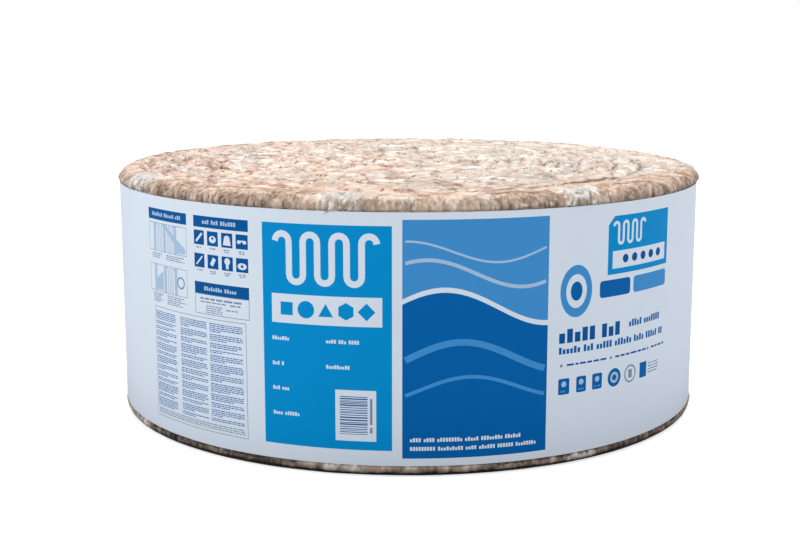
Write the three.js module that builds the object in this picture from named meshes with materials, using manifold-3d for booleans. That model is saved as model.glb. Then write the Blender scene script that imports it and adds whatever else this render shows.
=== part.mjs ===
// Insulation roll: a long blanket of glass wool wound into a flat coil and held in a sleeve of printed film.
// It stands on one end, and a narrow band of wool shows above and below the sleeve.
// Millimetres, +Z up. The origin is the centre of the lower end, on the surface that the roll stands on.
import * as THREE from "three";
import { mergeVertices } from "three/addons/utils/BufferGeometryUtils.js";
import Module from "manifold-3d";

const wasm = await Module();
wasm.setup();

const degrees = THREE.MathUtils.degToRad;

// The blanket as it is wound. Angles are seen from above, counterclockwise from +X.
const blanketWidth = 381; // slit width of the blanket, which is the roll's height
const woundRadius = 464; // radius of the coil where the sleeve holds it
const woundThickness = 57; // one turn under compression, which is the pitch of the spiral
const tailAzimuth = degrees(-100); // where the blanket's outer end lies
const eyeRadius = 16; // radius at which the innermost turn folds back on itself

// Bare wool past each edge of the sleeve springs out, then rounds over to the end.
const topReveal = 18.5;
const bottomReveal = 15.5;
const bulge = 2;
const bulgeRise = 3;
const topCornerWidth = 24;
const bottomCornerWidth = 10; // squashed by the roll's weight

// The crease that one turn makes with the next. It spirals across each end.
const topCreaseWidth = 34;
const topCreaseDepth = 10;
const bottomCreaseWidth = 20;
const bottomCreaseDepth = 5;

// The film sleeve is one sheet, welded to itself in a lap round the back.
const filmThickness = 0.15;
const filmClearance = 0.3; // between the film and the wool
const lapWidth = 70;
const lapAzimuth = degrees(70);

// How finely round forms are cut into flats. A sagitta is how far a flat falls short of its arc.
const coilSagitta = 0.25;
const creaseSagitta = 1;
const cornerFlats = 3;
const creaseFlankFlats = 3;

const coilFlats = 4 * Math.ceil(Math.PI / 4 / Math.acos(1 - coilSagitta / woundRadius));
const coilTop = blanketWidth;
const sleeveBottom = bottomReveal;
const sleeveHeight = blanketWidth - bottomReveal - topReveal;
const sleeveTop = sleeveBottom + sleeveHeight;
const proud = 4; // how far a cutter stands clear of the surface that it cuts

// A closed geometry as a solid that can be cut.
function toSolid(geometry) {
  const bare = geometry.clone();
  bare.deleteAttribute("normal");
  bare.deleteAttribute("uv");
  const merged = mergeVertices(bare, 1e-3);
  return new wasm.Manifold(
    new wasm.Mesh({
      numProp: 3,
      vertProperties: new Float32Array(merged.attributes.position.array),
      triVerts: new Uint32Array(merged.index.array),
    }),
  );
}

// A cut solid as a geometry with flat-shaded faces.
function toGeometry(solid) {
  const mesh = solid.getMesh();
  const indexed = new THREE.BufferGeometry();
  indexed.setAttribute("position", new THREE.BufferAttribute(mesh.vertProperties, 3));
  indexed.setIndex(new THREE.BufferAttribute(mesh.triVerts, 1));
  const faceted = indexed.toNonIndexed();
  faceted.computeVertexNormals();
  return faceted;
}

// Half the coil's section, x from the axis and y up: a waist that the film holds in, a bulge past each edge
// of the film, and a rounded corner that takes up the rest of each reveal.
function coilProfile() {
  const bulgeRadius = woundRadius + bulge;
  const bottomCornerHeight = bottomReveal - bulgeRise - filmClearance;
  const topCornerHeight = topReveal - bulgeRise - filmClearance;
  const profile = new THREE.Path();
  profile.moveTo(0, 0);
  profile.lineTo(bulgeRadius - bottomCornerWidth, 0);
  profile.absellipse(
    bulgeRadius - bottomCornerWidth,
    bottomCornerHeight,
    bottomCornerWidth,
    bottomCornerHeight,
    -Math.PI / 2,
    0,
  );
  profile.lineTo(woundRadius, sleeveBottom - filmClearance);
  profile.lineTo(woundRadius, sleeveTop + filmClearance);
  profile.lineTo(bulgeRadius, coilTop - topCornerHeight);
  profile.absellipse(
    bulgeRadius - topCornerWidth,
    coilTop - topCornerHeight,
    topCornerWidth,
    topCornerHeight,
    0,
    Math.PI / 2,
  );
  profile.lineTo(0, coilTop);
  return profile.getPoints(cornerFlats);
}

// The line of the crease, an Archimedean spiral that runs inwards from the blanket's tail to its eye and
// loses one thickness of blanket in each turn.
class CreaseSpiral extends THREE.Curve {
  constructor(height) {
    super();
    this.height = height;
  }

  // Equal steps of t are shorter near the eye, where the curve is tighter, and all have the same sagitta.
  getPoint(t, target = new THREE.Vector3()) {
    const radius = THREE.MathUtils.lerp(woundRadius ** 1.5, eyeRadius ** 1.5, t) ** (2 / 3);
    const turns = (woundRadius - radius) / woundThickness;
    const azimuth = tailAzimuth + turns * 2 * Math.PI;
    return target.set(radius * Math.cos(azimuth), radius * Math.sin(azimuth), this.height);
  }

  // Keeps those steps, where a curve would otherwise be divided into equal lengths.
  getUtoTmapping(u) {
    return u;
  }

  stepCount() {
    const radiusPerRadian = woundThickness / (2 * Math.PI);
    const sweep = (2 / 3) * (woundRadius ** 1.5 - eyeRadius ** 1.5);
    return Math.ceil(sweep / (radiusPerRadian * Math.sqrt(8 * creaseSagitta)));
  }
}

// A cutter for the crease in one end. Its section has two rounded shoulders that meet in a cusp. The swept
// section's x is down, and its y is across the crease. inwards is 1 for the top end and -1 for the bottom.
function creaseCutter(height, width, depth, inwards) {
  const section = new THREE.Shape();
  section.moveTo(-inwards * proud, -width / 2);
  for (let i = 0; i <= 2 * creaseFlankFlats; i++) {
    const across = i / creaseFlankFlats - 1;
    const into = depth * (1 - Math.sqrt(1 - (1 - Math.abs(across)) ** 2));
    section.lineTo(inwards * into, (across * width) / 2);
  }
  section.lineTo(-inwards * proud, width / 2);
  const spiral = new CreaseSpiral(height);
  return new THREE.ExtrudeGeometry(section, { extrudePath: spiral, steps: spiral.stepCount() });
}

function blanketCoil() {
  const turned = new THREE.LatheGeometry(coilProfile(), coilFlats).rotateX(Math.PI / 2);
  const creased = toSolid(turned)
    .subtract(toSolid(creaseCutter(coilTop, topCreaseWidth, topCreaseDepth, 1)))
    .subtract(toSolid(creaseCutter(0, bottomCreaseWidth, bottomCreaseDepth, -1)));
  return toGeometry(creased);
}

// Points along a ring that has the coil's own flats, from one azimuth to another.
function alongFlats(radius, from, to) {
  const flat = (2 * Math.PI) / coilFlats;
  const azimuths = [from];
  for (let i = Math.floor(from / flat) + 1; i * flat < to; i++) azimuths.push(i * flat);
  azimuths.push(to);
  return azimuths.map((azimuth) => {
    const offCentre = THREE.MathUtils.euclideanModulo(azimuth, flat) - flat / 2;
    const distance = (radius * Math.cos(flat / 2)) / Math.cos(offCentre);
    return new THREE.Vector2(distance * Math.cos(azimuth), distance * Math.sin(azimuth));
  });
}

// The film's section: one layer all round, and two where the sheet's outer end is welded over its inner end.
function filmSleeve() {
  const inner = woundRadius + filmClearance;
  const oneLayer = inner + filmThickness;
  const twoLayers = oneLayer + filmThickness;
  const lapStart = lapAzimuth - lapWidth / (2 * inner);
  const lapEnd = lapAzimuth + lapWidth / (2 * inner);
  const outline = new THREE.Shape([
    ...alongFlats(twoLayers, lapStart, lapEnd),
    ...alongFlats(oneLayer, lapEnd, lapStart + 2 * Math.PI),
  ]);
  outline.holes.push(new THREE.Path(alongFlats(inner, 0, 2 * Math.PI).slice(0, -1)));
  return new THREE.ExtrudeGeometry(outline, { depth: sleeveHeight, bevelEnabled: false });
}

const wool = new THREE.MeshStandardMaterial({ color: "#cbb19c", roughness: 1, metalness: 0 });
const film = new THREE.MeshStandardMaterial({ color: "#dfe6ee", roughness: 0.5, metalness: 0 });

const blanket = new THREE.Mesh(blanketCoil(), wool);
blanket.name = "blanket_coil";

const sleeve = new THREE.Mesh(filmSleeve(), film);
sleeve.name = "film_sleeve";
sleeve.position.z = sleeveBottom;

const insulationRoll = new THREE.Group();
insulationRoll.add(blanket, sleeve);

export default insulationRoll;
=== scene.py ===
import math
from itertools import product

import bpy
import numpy as np
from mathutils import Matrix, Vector
from mathutils.geometry import delaunay_2d_cdt

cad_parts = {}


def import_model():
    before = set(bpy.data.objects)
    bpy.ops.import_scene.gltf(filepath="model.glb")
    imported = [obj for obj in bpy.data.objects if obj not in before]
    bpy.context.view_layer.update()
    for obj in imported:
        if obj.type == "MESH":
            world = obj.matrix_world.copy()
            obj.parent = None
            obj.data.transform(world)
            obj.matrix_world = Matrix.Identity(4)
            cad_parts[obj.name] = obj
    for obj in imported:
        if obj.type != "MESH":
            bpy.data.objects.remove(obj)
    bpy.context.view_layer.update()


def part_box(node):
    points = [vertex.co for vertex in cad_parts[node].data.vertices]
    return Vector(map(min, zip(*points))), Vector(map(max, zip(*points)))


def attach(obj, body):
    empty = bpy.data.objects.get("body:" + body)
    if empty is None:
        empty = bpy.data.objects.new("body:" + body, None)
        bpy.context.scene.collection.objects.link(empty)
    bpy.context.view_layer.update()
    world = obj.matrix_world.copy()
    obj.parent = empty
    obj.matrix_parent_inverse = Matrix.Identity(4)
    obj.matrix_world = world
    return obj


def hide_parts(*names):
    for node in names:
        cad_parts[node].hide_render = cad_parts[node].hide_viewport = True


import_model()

TAU = 2 * math.pi
MM = 0.001

# The CAD solids give the roll's sizes, in metres.
_, coil_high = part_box("blanket_coil")
film_low, film_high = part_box("film_sleeve")
ROLL_HEIGHT = coil_high.z
BULGE_RADIUS = coil_high.x
FILM_RADIUS = film_high.x
FILM_BOTTOM = film_low.z
FILM_TOP = film_high.z
FILM_HEIGHT = FILM_TOP - FILM_BOTTOM

# How the blanket is wound. Azimuths are counterclockwise from +X, seen from above.
WOUND_RADIUS = 0.464
TURN = 0.057
TAIL_AZIMUTH = math.radians(-100)
EYE_RADIUS = 0.016
TURNS = (WOUND_RADIUS - EYE_RADIUS) / TURN
WAIST_RADIUS = WOUND_RADIUS - 1.6 * MM  # behind the film

# Bare wool past the film rounds over to each end.
CORNER_WIDTH_TOP = 24 * MM
CORNER_WIDTH_BOTTOM = 10 * MM
BULGE_RISE = 3 * MM
TUCK = 12 * MM  # how far the detailed surface runs on behind the film

# Silvery tufts of loose fibre on the rim: azimuth and half width in degrees, and how white they are.
PALE_TUFTS = [
    (-149.9, 4.6, 1.0), (-101.2, 3.9, 1.0), (-90.0, 0.8, 0.4), (-77.5, 0.8, 0.3), (-58.8, 3.4, 1.0),
    (-8.0, 4.5, 0.7),
]

# Stretches of the rim whose pleats gape and sink deeper, given in the same way. There painted shade darkens
# the gaps, the lower rim and the lower end, and the rim's painted highlight fades.
GAPING = [(-128, 20, 1.0), (-68, 9, 0.7), (-36, 20, 0.75), (60, 25, 0.6), (150, 30, 0.7)]

# Where the crease gapes, with painted shade down in it, and where the turn's crown is pale and fluffy, partly
# as a painted highlight. A place on the spiral is an azimuth and a half width in degrees, and the number of
# whole turns outside it.
FRONT_CREASE = (-55, 23, 1)
OPEN_CREASES = [FRONT_CREASE, (-12, 6, 2), (-165, 10, 2), (-118, 10, 1)]
PALE_CROWNS = [
    (-8, 25, 2), (-50, 22, 2), (20, 20, 2), (-25, 30, 3), (2, 14, 4), (10, 45, 6), (165, 12, 3), (150, 14, 5),
    (88, 45, 3),
]

# Where the turns were pushed out of their even spiral: azimuth and half width in degrees, then in millimetres
# the radius, the reach across it, and how far the crease runs inwards.
STRAYS = [(-18, 52, 383, 45, 19), (45, 30, 378, 42, 14), (170, 40, 360, 60, -12)]

# Furrows between the layers of one turn: a place on the spiral, and how far it lies across the blanket, as a
# share of a turn.
FURROWS = [
    (-42, 36, 2, 0.3), (20, 40, 2, 0.72), (12, 50, 4, 0.4), (5, 55, 6, 0.62), (-30, 50, 3, 0.5),
    (178, 25, 2, 0.25), (170, 25, 3, 0.33), (-150, 25, 1, 0.37), (110, 35, 5, 0.32), (-90, 30, 3, 0.55),
    (60, 40, 5, 0.5), (-120, 30, 5, 0.5), (90, 40, 1, 0.5), (-75, 35, 4, 0.45),
]

# Where the turns stand apart as rings: azimuth and half width in degrees. Elsewhere they are matted together
# and show only this much of it.
RINGS = (10, 105)
MATTED = 0.4

# Tufts of loose wool on the top, raised and pale, and hollows in it, sunk and painted dark as shade: their
# middle, half width and half depth in millimetres, and how white or dark they are.
TUFTS = [
    (-48, -25, 17, 34, 1.0), (-257, 9, 30, 45, 0.8), (-285, 149, 24, 40, 0.6), (136, 28, 20, 36, 0.8),
    (162, 45, 16, 30, 0.6), (-54, 61, 20, 16, -1.0), (-92, 20, 18, 18, -0.8), (-300, -60, 22, 14, -0.8),
    (-150, 0, 14, 16, -0.7), (215, -15, 18, 14, -0.7),
]

FAR = 0.05  # metres, out of reach of any crease or furrow
SEED = 19


# ---- numbers

class Noise:
    """Smooth values from -1 to 1 over space, the same on every run."""

    CELLS = 64

    def __init__(self, seed):
        self.values = np.random.default_rng(seed).uniform(-1, 1, (self.CELLS,) * 3)

    def __call__(self, points, cell_size, patch=0):
        """The noise at points. With another patch it is another pattern."""
        at = (points + patch) / np.broadcast_to(cell_size, 3)
        cell = np.floor(at).astype(int)
        share = at - cell
        share = share * share * (3 - 2 * share)
        total = np.zeros(len(points))
        for corner in product((0, 1), repeat=3):
            weight = np.prod(np.where(corner, share, 1 - share), axis=1)
            x, y, z = ((cell + corner) % self.CELLS).T
            total += weight * self.values[x, y, z]
        return total


def smoothstep(low, high, value):
    share = np.clip((value - low) / (high - low), 0, 1)
    return share * share * (3 - 2 * share)


def bell(distance, width):
    return np.exp(-((distance / width) ** 2))


def folded(values):
    """Noise folded at 0 into sharp valleys, then lowered so that it both rises and sinks."""
    return np.abs(values) - 0.42


def unit(vectors):
    return vectors / np.maximum(np.linalg.norm(vectors, axis=-1, keepdims=True), 1e-12)


def polar(radius, azimuth, height):
    return np.stack([radius * np.cos(azimuth), radius * np.sin(azimuth), height + 0 * azimuth], axis=-1)


# ---- meshes

def make_mesh(name, vertices, faces, materials, face_material=None, normals=None, fields=None):
    """An object from arrays. faces is a list of index arrays, one for each number of corners."""
    mesh = bpy.data.meshes.new(name)
    corners = np.concatenate([f.ravel() for f in faces]).astype(np.int32)
    sizes = np.concatenate([np.full(len(f), f.shape[1]) for f in faces]).astype(np.int32)
    mesh.vertices.add(len(vertices))
    mesh.vertices.foreach_set("co", np.asarray(vertices, np.float32).ravel())
    mesh.loops.add(len(corners))
    mesh.loops.foreach_set("vertex_index", corners)
    mesh.polygons.add(len(sizes))
    mesh.polygons.foreach_set("loop_start", np.cumsum(sizes, dtype=np.int32) - sizes)
    mesh.polygons.foreach_set("loop_total", sizes)
    mesh.polygons.foreach_set("use_smooth", np.ones(len(sizes), bool))
    for material in materials:
        mesh.materials.append(material)
    if face_material is not None:
        mesh.polygons.foreach_set("material_index", np.asarray(face_material, np.int32))
    for field, values in (fields or {}).items():
        kind = "FLOAT_VECTOR" if values.ndim == 2 else "FLOAT"
        layer = mesh.attributes.new(field, kind, "POINT")
        layer.data.foreach_set("vector" if values.ndim == 2 else "value", values.astype(np.float32).ravel())
    mesh.update(calc_edges=True)
    if normals is not None:
        mesh.normals_split_custom_set_from_vertices(normals.astype(np.float32))
    made = bpy.data.objects.new(name, mesh)
    bpy.context.scene.collection.objects.link(made)
    return made


def bridge(first_a, count_a, first_b, count_b):
    """Triangles between two closed rings of vertices that start at the same azimuth."""
    triangles = []
    a = b = 0
    while a < count_a or b < count_b:
        if b == count_b or (a < count_a and (a + 1) * count_b <= (b + 1) * count_a):
            triangles.append((first_a + a, first_a + (a + 1) % count_a, first_b + b % count_b))
            a += 1
        else:
            triangles.append((first_b + (b + 1) % count_b, first_b + b, first_a + a % count_a))
            b += 1
    return triangles


def fan(first, count, tip):
    """Triangles between a closed ring of vertices and one vertex."""
    return [(first + i, first + (i + 1) % count, tip) for i in range(count)]


def tubes(rings):
    """Vertices and faces of closed tubes, from the rings of each: an array (N, K, sides, 3)."""
    index = np.arange(np.prod(rings.shape[:3])).reshape(rings.shape[:3])
    ahead = np.roll(index, -1, axis=2)
    walls = np.stack([index[:, :-1], ahead[:, :-1], ahead[:, 1:], index[:, 1:]], axis=-1).reshape(-1, 4)
    caps = np.concatenate([index[:, 0, ::-1], index[:, -1]])
    return rings.reshape(-1, 3), [walls, caps]


def spindles(paths, half_widths, half_heights, ups, sides):
    """Closed spindles along paths (N, K, 3): vertices and faces."""
    tangents = unit(np.gradient(paths, axis=1))
    across = unit(np.cross(ups, tangents))
    raised = np.cross(tangents, across)
    turn = np.arange(sides) / sides * TAU
    ring = (
        across[:, :, None] * (half_widths[..., None] * np.cos(turn))[..., None]
        + raised[:, :, None] * (half_heights[..., None] * np.sin(turn))[..., None]
    )
    return tubes(paths[:, :, None] + ring)


# ---- shader nodes

class Nodes:
    """A node tree, built by short calls."""

    def __init__(self, tree):
        self.tree = tree

    def node(self, kind, *values, settings=None, **named):
        """A new node. Values or other nodes' outputs go to its first inputs and to the named ones."""
        made = self.tree.nodes.new("ShaderNode" + kind)
        for name, value in (settings or {}).items():
            setattr(made, name, value)
        for socket, value in zip(made.inputs, values):
            self.put(socket, value)
        for name, value in named.items():
            self.put(made.inputs[name.replace("_", " ")], value)
        return made

    def put(self, socket, value):
        if isinstance(value, bpy.types.NodeSocket):
            self.tree.links.new(value, socket)
        else:
            socket.default_value = value

    def math(self, operation, first, second):
        return self.node("Math", first, second, settings={"operation": operation}).outputs[0]

    def times(self, first, second):
        return self.math("MULTIPLY", first, second)

    def plus(self, first, second):
        return self.math("ADD", first, second)

    def minus(self, first, second):
        return self.math("SUBTRACT", first, second)

    def spread(self, value, low, high, to_low=0.0, to_high=1.0):
        settings = {"interpolation_type": "SMOOTHSTEP"}
        return self.node("MapRange", value, low, high, to_low, to_high, settings=settings).outputs["Result"]


class Shader(Nodes):
    """A material with a Principled surface."""

    def __init__(self, name, roughness, specular, **constants):
        self.material = bpy.data.materials.new(name)
        self.material.use_nodes = True
        super().__init__(self.material.node_tree)
        self.surface = self.tree.nodes["Principled BSDF"]
        self.colour = None
        constants.update(Roughness=roughness, Specular_IOR_Level=specular)
        for socket, value in constants.items():
            self.surface.inputs[socket.replace("_", " ")].default_value = value

    def field(self, name, output="Fac"):
        return self.node("Attribute", settings={"attribute_name": name}).outputs[output]

    def object_place(self):
        return self.node("TexCoord").outputs["Object"]

    def weighted(self, *parts):
        """The sum of values, each times its weight."""
        first, *others = (self.times(value, weight) for value, weight in parts)
        for other in others:
            first = self.plus(first, other)
        return first

    def noise(self, place, cells, detail, roughness=0.5):
        """Noise with a number of cells to the metre, one number or one for each axis."""
        if isinstance(cells, tuple):
            place = self.node("Mapping", Vector=place, Scale=cells).outputs["Vector"]
            cells = 1.0
        made = self.node("TexNoise", Vector=place, Scale=cells, Detail=detail, Roughness=roughness)
        return made.outputs["Fac"]

    def ramp(self, value, *stops):
        """A colour from a value. A stop is a position and a colour as displayed."""
        made = self.node("ValToRGB", value)
        elements = made.color_ramp.elements
        while len(elements) < len(stops):
            elements.new(0.5)
        for element, (position, *colour) in zip(elements, stops):
            element.position = position
            element.color = (*srgb(*colour), 1)
        return made.outputs["Color"]

    def mix(self, share, first, second):
        """From the first colour to the second. Three numbers are a colour in linear light."""
        made = self.node("Mix", share, settings={"data_type": "RGBA"})
        for socket, value in ((made.inputs[6], first), (made.inputs[7], second)):
            self.put(socket, (*value, 1) if isinstance(value, tuple) else value)
        return made.outputs[2]

    def over(self, share, colour):
        """Lays a colour over the surface's colour so far. Three numbers are a colour as displayed."""
        colour = srgb(*colour) if isinstance(colour, tuple) else colour
        self.colour = self.mix(share, self.colour, colour)

    def bump(self, height, strength, distance, below=None):
        made = self.node("Bump", Height=height, Strength=strength, Distance=distance)
        if below:
            self.put(made.inputs["Normal"], below)
        return made.outputs["Normal"]

    def finish(self, normal):
        self.put(self.surface.inputs["Base Color"], self.colour)
        self.put(self.surface.inputs["Normal"], normal)
        return self.material


def srgb(red, green, blue):
    """A colour from its 0 to 255 display values, as linear light."""
    def linear(value):
        value /= 255
        return value / 12.92 if value <= 0.04045 else ((value + 0.055) / 1.055) ** 2.4
    return (linear(red), linear(green), linear(blue))


# ---- the wound blanket

grain = Noise(SEED)
lump = Noise(SEED + 1)
sway = Noise(SEED + 2)

# The wool's patterns: the noise that each is read from, its cells in metres, and where its patch lies.
PATTERNS = {
    # On the unrolled blanket, along and across it.
    "swell": (grain, (0.2, 0.5, 0.3)),
    "lumps": (lump, (0.036, 0.028, 1)),
    "folds": (grain, (0.026, 0.017, 1), 3),
    "tufting": (lump, (0.013, 0.0085, 1), 7),
    "ridges": (lump, (0.08, 0.010, 1), 31),
    "strata": (grain, (0.15, 0.013, 1), 41),
    "breaks": (lump, (0.055, 0.02, 1), 47),
    "parting": (sway, (0.11, 1, 1), 5),
    "furrows": (sway, (0.1, 1, 1), 33),
    "lay_along": (grain, 0.03, 11),
    "lay_across": (lump, 0.03, 13),
    # On the flat end, as seen from above.
    "crease": (sway, 0.085),
    "outermost": (sway, 0.06, 2),
    "tuft_edges": (lump, (0.014, 0.014, 1), 27),
    "tuft_fringes": (grain, (0.006, 0.006, 1), 29),
    # On the rim, in space.
    "uneven": (grain, 0.02),
    "pleats": (lump, (0.0085, 0.0085, 0.06)),
    "creping": (grain, (0.0055, 0.0055, 0.03), 5),
    "strands": (lump, (0.0045, 0.0045, 0.02), 17),
    "crumple": (lump, (0.009, 0.009, 0.006), 51),
    "ragged_ends": (lump, 0.012, 9),
    "ragged_threads": (grain, (0.004, 0.004, 0.02), 4),
    "under_shade": (lump, (0.0055, 0.0055, 0.02), 21),
    "under_shade_bands": (grain, (0.03, 0.03, 0.008), 23),
    # On the paper facing's edge.
    "paper_sway": (lump, 0.016),
    "paper_rise": (grain, (0.03, 0.03, 1)),
    "paper_nicks": (lump, 0.06),
}


def pattern(name, points):
    noise, *settings = PATTERNS[name]
    return noise(points, *settings)


def swept_to(azimuth, turns=0):
    """The angle along the spiral from the blanket's tail to an azimuth, past a number of whole turns."""
    return (azimuth - TAIL_AZIMUTH) % TAU + TAU * turns


def unrolled(radius, azimuth):
    """Where a point of the coil's end lies on the blanket: metres along it from the tail, metres across its
    thickness from the crease on its inner side, and which turn it is in, counted from the outside."""
    swept = swept_to(azimuth)
    creases = (WOUND_RADIUS - radius) / TURN - swept / TAU
    turn = np.clip(np.ceil(creases), 0, None)
    total = swept + TAU * turn
    along = (WOUND_RADIUS + TURN / 2) * total - TURN * total**2 / (2 * TAU)
    return along, (turn - creases) * TURN, turn


def aside(azimuth, centre, half_width):
    """How far azimuths are from a centre, in half widths. Those two are in degrees."""
    return np.abs((azimuth - math.radians(centre) + math.pi) % TAU - math.pi) / math.radians(half_width)


def ringed(azimuth):
    """From 0 to 1, how far azimuths are in the stretch where the turns stand apart."""
    return smoothstep(1.2, 0.5, aside(azimuth, *RINGS))


def crease_wobble(radius, azimuth):
    """How far the crease strays from its spiral, in metres."""
    level = polar(radius, azimuth, 0 * radius)
    total = 6 * MM * pattern("crease", level) * smoothstep(0.46, 0.38, radius)
    for centre, half_width, middle, reach, inwards in STRAYS:
        out = np.abs(radius - middle * MM) / (reach * MM)
        stray = inwards * MM * smoothstep(1, 0.45, aside(azimuth, centre, half_width))
        total = total + stray * smoothstep(1, 0.1, out)
    return total


def crease_distance(radius, azimuth):
    """Metres from the nearest stretch of the crease, which ends at the eye and at the outside of the coil."""
    _, across, turn = unrolled(radius, azimuth)
    turns = swept_to(azimuth) / TAU + turn
    inner_side = across + FAR * smoothstep(TURNS - 0.25, TURNS, turns)
    outer_side = TURN - across + FAR * (turn < 1)
    outer_side = outer_side + FAR * smoothstep(TURNS - 0.25, TURNS, turns - 1)
    return np.minimum(inner_side, outer_side)


def from_middle(swept, azimuth, half_width, turns):
    """How far angles along the spiral are from a place on it, in half widths of that place."""
    return np.abs(swept - swept_to(math.radians(azimuth), turns)) / math.radians(half_width)


def on_spiral(swept, places):
    """From 0 to 1, how far angles along the spiral are in the places in a list."""
    inside = sum(smoothstep(1.2, 0.6, from_middle(swept, *place)) for place in places)
    return np.clip(inside, 0, 1)


def outermost(base, radius):
    """From 0 to 1, how far each point is in the smoother outermost turns, which show most at the front."""
    near_front = smoothstep(0.18, 0.36, -base[:, 1])
    behind = smoothstep(0, 0.3, base[:, 1] + 0.16 * (base[:, 0] > 0))
    stray = pattern("outermost", base * (1, 1, 0))
    return smoothstep(0.365, 0.425, radius + 12 * MM * stray + 26 * MM * near_front) * (1 - 0.8 * behind)


def furrow_distance(along, across, swept):
    """Metres from the nearest furrow within a turn, and far off where there is none."""
    across = across + 4 * MM * pattern("furrows", np.stack([along, 0 * along, 0 * along], axis=1))
    nearest = np.full(len(along), FAR)
    for *place, share in FURROWS:
        beyond = smoothstep(0.6, 1.2, from_middle(swept, *place))
        nearest = np.minimum(nearest, np.abs(across - share * TURN) + 20 * MM * beyond)
    return nearest


def tufted(base):
    """From -1 to 1, how pale and raised the loose tufts make each point of the top, or how sunk and painted
    dark as shade its hollows make it.
    """
    ragged = 0.35 * pattern("tuft_edges", base) + 0.25 * pattern("tuft_fringes", base)
    total = np.zeros(len(base))
    for x, y, half_width, half_depth, strength in TUFTS:
        away = np.hypot((base[:, 0] - x * MM) / (half_width * MM), (base[:, 1] - y * MM) / (half_depth * MM))
        total += strength * smoothstep(1.2, 0.5, away + ragged)
    return np.clip(total, -1, 1)


def marked(stretches, base, azimuth):
    """From 0 to 1, how far each point is in the stretches of rim in a list, which have ragged ends."""
    ragged = math.radians(1.5) * pattern("ragged_ends", base)
    ragged += math.radians(0.8) * pattern("ragged_threads", base)
    total = np.zeros(len(azimuth))
    for centre, half_width, strength in stretches:
        away = aside(azimuth, centre, half_width) + ragged / math.radians(half_width)
        total += strength * smoothstep(1.1, 0.75, away)
    return np.clip(total, 0, 1)


def end_relief(base, radius, azimuth, rim, is_top):
    """The height of the flat end's relief, and the fields that tell of it, which fade out onto the rim."""
    wobble = crease_wobble(radius, azimuth)
    along, across, turn = unrolled(radius + wobble, azimuth)
    to_crease = crease_distance(radius + wobble, azimuth)
    place = np.stack([along, across, 0.4 * along], axis=1)
    swept = swept_to(azimuth, turn)
    inner_side = across > TURN / 2
    outer = outermost(base, radius)
    tufts = tufted(base) * is_top
    swirl = MATTED + (1 - MATTED) * ringed(azimuth)

    # Where the crease gapes, with its far flank painted dark as shade and a painted highlight on its inner
    # shoulder, and the pale crown of each turn.
    at_crease = np.where(across < TURN / 2, swept, swept - TAU)
    opened = on_spiral(at_crease, OPEN_CREASES)
    near_open = opened * smoothstep(22 * MM, 8 * MM, to_crease)
    shaded_flank = on_spiral(at_crease, [FRONT_CREASE]) * inner_side * smoothstep(5 * MM, 2.5 * MM, to_crease)
    lit_shoulder = opened * inner_side * bell(to_crease - 11 * MM, 6 * MM)
    crown = on_spiral(swept, PALE_CROWNS) * smoothstep(24 * MM, 12 * MM, np.abs(across - 0.62 * TURN))

    # Painted shade as dark lines along the furrows between layers and turns, broken here and there, and the
    # raised ridge beside each with a painted highlight.
    furrow = furrow_distance(along, across, swept)
    nearest = np.minimum(furrow, to_crease + (1 - swirl) * 20 * MM)
    broken = 0.5 + 0.5 * smoothstep(-0.45, 0.35, pattern("breaks", place))
    line = bell(nearest, 3 * MM) * broken
    ridge = swirl * bell(nearest - 12 * MM, 6 * MM) + 1.2 * lit_shoulder
    trough = bell(furrow, 4.5 * MM)

    # How deep the crease is open, the slopes beside it, and how far the rest of the relief dies down. Both
    # crease and slopes are sunk and also painted darker as shade.
    parted = 0.45 * (1 - 0.7 * swirl) * smoothstep(-0.4, 0.5, pattern("parting", place))
    parted = np.clip(0.12 + parted + 0.1 * swirl + opened, 0, 1)
    crease = np.exp(-to_crease / ((3.6 - 1.2 * opened) * MM)) * parted
    slope = bell(to_crease, (13 + 4 * inner_side) * MM)
    tufting = pattern("tufting", place)
    calm = (1 - 0.6 * outer) * (1 - 0.6 * near_open) * (1 - 0.5 * swirl)

    height = -8 * MM * crease - (1.4 + 1.3 * swirl) * MM * slope + 2.5 * MM * tufts
    height += 1.1 * MM * ridge - (1.6 + 0.6 * swirl) * MM * trough * broken
    height += 1.8 * MM * pattern("swell", place)
    height += calm * 2.6 * MM * pattern("lumps", place)
    height += calm * 1.8 * MM * folded(pattern("folds", place))
    height += (0.5 + 0.5 * calm) * (1 - 0.7 * near_open) * (2.7 - 0.7 * swirl) * MM * tufting
    strata = swirl * pattern("strata", place)
    height += 1.5 * MM * crown + 1.2 * MM * pattern("ridges", place) + 2 * MM * strata
    height += 2.6 * MM * near_open * np.where(inner_side, 1, -0.4) * smoothstep(0, 5 * MM, to_crease)

    # The fields paint light: shade in the crease, its flank, the slopes, the furrows' troughs, the tufting's
    # hollows and the lines; highlight on the crowns, the ridges and the tufting's peaks.
    pale_and_highlight = np.clip(crown + 0.35 * smoothstep(0.3, 0.8, tufting) + ridge, 0, 1.4)
    fields = {
        "crease": np.maximum(crease + 0.9 * shaded_flank, opened * smoothstep(5 * MM, 2 * MM, to_crease)),
        "slope": np.maximum(slope * parted * (0.85 - 0.15 * swirl), 0.6 * trough),
        "gap_shade": np.maximum(0.65 * smoothstep(-0.2, -0.75, tufting), 0.9 * line),
        "crown": pale_and_highlight + 1.5 * tufts + 0.5 * (swirl - MATTED),
        "line": line,
    }
    fields = {key: values * (1 - rim) for key, values in fields.items()}
    lay = np.stack([pattern("lay_along", place), pattern("lay_across", place)], axis=1)
    fields["unrolled"] = np.column_stack([place[:, :2] + 5 * MM * lay, 0 * along])
    fields["outer"] = outer
    return height, fields


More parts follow.
